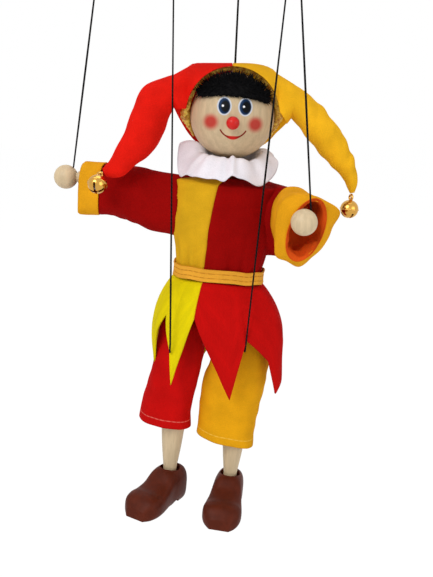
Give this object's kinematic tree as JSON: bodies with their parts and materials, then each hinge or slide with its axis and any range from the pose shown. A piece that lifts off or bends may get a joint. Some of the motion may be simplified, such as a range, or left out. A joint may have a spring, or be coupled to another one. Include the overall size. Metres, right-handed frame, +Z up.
{
  "type": "string puppet",
  "caption": "Jester string puppet with a turned wooden ball head, cloth costume, bell-tipped hood and clogs, hung on strings from a wooden control bar.",
  "frame": {"origin": "middle of the top face of the control's main bar, above the head string", "axes": "+Z up along the hanging strings, the figure faces -Y, +X to the viewer's right"},
  "size_m": [0.1298, 0.101, 0.2484],
  "materials": {
    "black_plush": "matt",
    "black_thread": "matt",
    "brass": "polished",
    "brown_paint": "satin",
    "gold_ribbon": "shiny",
    "lemon_cloth": "matt",
    "red_cloth": "matt",
    "red_lacquer": "gloss",
    "steel_wire": "bright",
    "white_cloth": "satin",
    "wood": "satin",
    "yellow_cloth": "matt"
  },
  "bodies": {
    "torso": {"control_main_bar": "wood", "control_hand_bar": "wood", "control_leg_bar": "wood", "control_hand_bar_pin": "wood", "control_leg_bar_pin": "wood", "string_head": "black_thread", "string_hand_left": "black_thread", "string_hand_right": "black_thread", "string_leg_left": "black_thread", "string_leg_right": "black_thread", "torso_block": "wood", "neck_eye": "steel_wire", "shoulder_eye_left": "steel_wire", "shoulder_eye_right": "steel_wire", "hip_pin": "steel_wire", "jacket_yellow": "yellow_cloth", "jacket_red": "red_cloth", "belt": "yellow_cloth", "skirt_yellow": "lemon_cloth", "skirt_red": "red_cloth", "collar": "white_cloth"},
    "neck_wire": {"head_wire": "steel_wire"},
    "head": {"head_ball": "wood", "nose": "red_lacquer", "hair_fringe": "black_plush", "hat_red": "red_cloth", "hat_yellow": "yellow_cloth", "hat_trim": "gold_ribbon"},
    "bell_left": {"bell_left": "brass", "bell_left_pellet": "steel_wire"},
    "bell_right": {"bell_right": "brass", "bell_right_pellet": "steel_wire"},
    "arm_left": {"arm_left": "wood", "arm_eye_left": "steel_wire", "hand_left": "wood", "sleeve_left": "red_cloth", "cuff_left": "yellow_cloth"},
    "thigh_left": {"thigh_left": "wood", "knee_pin_left": "steel_wire", "trousers_left": "red_cloth"},
    "shin_left": {"shin_left": "wood"},
    "shoe_left": {"shoe_left": "brown_paint"},
    "arm_right": {"arm_right": "wood", "arm_eye_right": "steel_wire", "hand_right": "wood", "sleeve_right": "red_cloth", "cuff_right": "yellow_cloth"},
    "thigh_right": {"thigh_right": "wood", "knee_pin_right": "steel_wire", "trousers_right": "yellow_cloth"},
    "shin_right": {"shin_right": "wood"},
    "shoe_right": {"shoe_right": "brown_paint"}
  },
  "joints": [
    {"name": "head_nod", "type": "hinge", "parent": "torso", "child": "neck_wire", "pos_m": [-0.00417, 0, -0.09427], "axis": [0.9986, 0, -0.0523], "range_deg": [-12, 15], "stiffness_Nm_per_rad": 0.02, "deforming": ["string_head", "collar"]},
    {"name": "head_turn", "type": "hinge", "parent": "neck_wire", "child": "head", "pos_m": [-0.003, 0, -0.072], "axis": [0.0523, 0, 0.9986], "range_deg": [-4, 40]},
    {"name": "arm_left_raise", "type": "hinge", "parent": "torso", "child": "arm_left", "pos_m": [-0.02829, 0, -0.09897], "axis": [0.066, 0.9978, 0], "range_deg": [0, 25], "deforming": ["sleeve_left", "string_hand_left"]},
    {"name": "arm_right_raise", "type": "hinge", "parent": "torso", "child": "arm_right", "pos_m": [0.01845, 0, -0.10389], "axis": [-0.9938, -0.111, 0], "range_deg": [0, 40], "deforming": ["sleeve_right", "string_hand_right"]},
    {"name": "hip_left", "type": "hinge", "parent": "torso", "child": "thigh_left", "pos_m": [-0.02384, 0, -0.1475], "axis": [-0.9945, 0, 0.1045], "range_deg": [-25, 75], "deforming": ["skirt_yellow", "string_leg_left"]},
    {"name": "knee_left", "type": "hinge", "parent": "thigh_left", "child": "shin_left", "pos_m": [-0.02709, 0, -0.18537], "axis": [0.9963, 0, -0.0854], "range_deg": [0, 90], "deforming": ["trousers_left"]},
    {"name": "shoe_left_turn", "type": "hinge", "parent": "shin_left", "child": "shoe_left", "pos_m": [-0.03076, 0, -0.22821], "axis": [0.0854, 0, 0.9963], "range_deg": [-25, 45]},
    {"name": "bell_left_swing", "type": "hinge", "parent": "head", "child": "bell_left", "pos_m": [-0.057, -0.0137, -0.095], "axis": [-0.1465, -0.6836, 0.715], "range_deg": [-30, 24]},
    {"name": "hip_right", "type": "hinge", "parent": "torso", "child": "thigh_right", "pos_m": [0.00401, 0, -0.15043], "axis": [-0.9945, 0, 0.1045], "range_deg": [-25, 75], "deforming": ["skirt_red", "string_leg_right"]},
    {"name": "knee_right", "type": "hinge", "parent": "thigh_right", "child": "shin_right", "pos_m": [0.00056, 0, -0.18827], "axis": [0.9959, 0, -0.0906], "range_deg": [0, 90], "deforming": ["trousers_right"]},
    {"name": "shoe_right_turn", "type": "hinge", "parent": "shin_right", "child": "shoe_right", "pos_m": [-0.00333, 0, -0.2311], "axis": [0.0906, 0, 0.9959], "range_deg": [-10, 60]},
    {"name": "bell_right_swing", "type": "hinge", "parent": "head", "child": "bell_right", "pos_m": [0.0475, 0, -0.106], "axis": [-0.9154, -0.3814, 0.1289], "range_deg": [-30, 30]}
  ]
}
